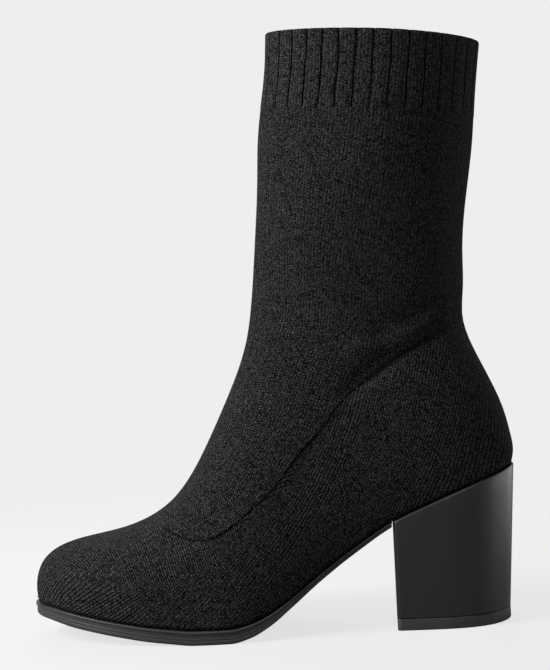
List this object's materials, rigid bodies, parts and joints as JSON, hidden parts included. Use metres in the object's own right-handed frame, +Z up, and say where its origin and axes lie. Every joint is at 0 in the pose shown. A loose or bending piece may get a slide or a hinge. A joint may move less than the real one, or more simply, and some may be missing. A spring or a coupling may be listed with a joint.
{
  "type": "sock boot",
  "caption": "Knitted ankle sock boot with a ribbed cuff, a thin stepped outsole with arch and toe spring, and a tall block heel.",
  "frame": {"origin": "on the floor, below the centre of the boot's bounding box", "axes": "+X towards the back of the heel, -X towards the toe, -Y towards the outer side of the foot, +Z up along the shaft"},
  "size_m": [0.24, 0.0881, 0.2904],
  "materials": {
    "knit": "matt knit",
    "outsole": "satin",
    "heel": "satin lacquer",
    "top_piece": "matt",
    "insole": "matt lining"
  },
  "bodies": {
    "root": {"upper": "knit", "outsole": "outsole", "heel": "heel", "top_piece": "top_piece", "insole": "insole"}
  },
  "joints": []
}
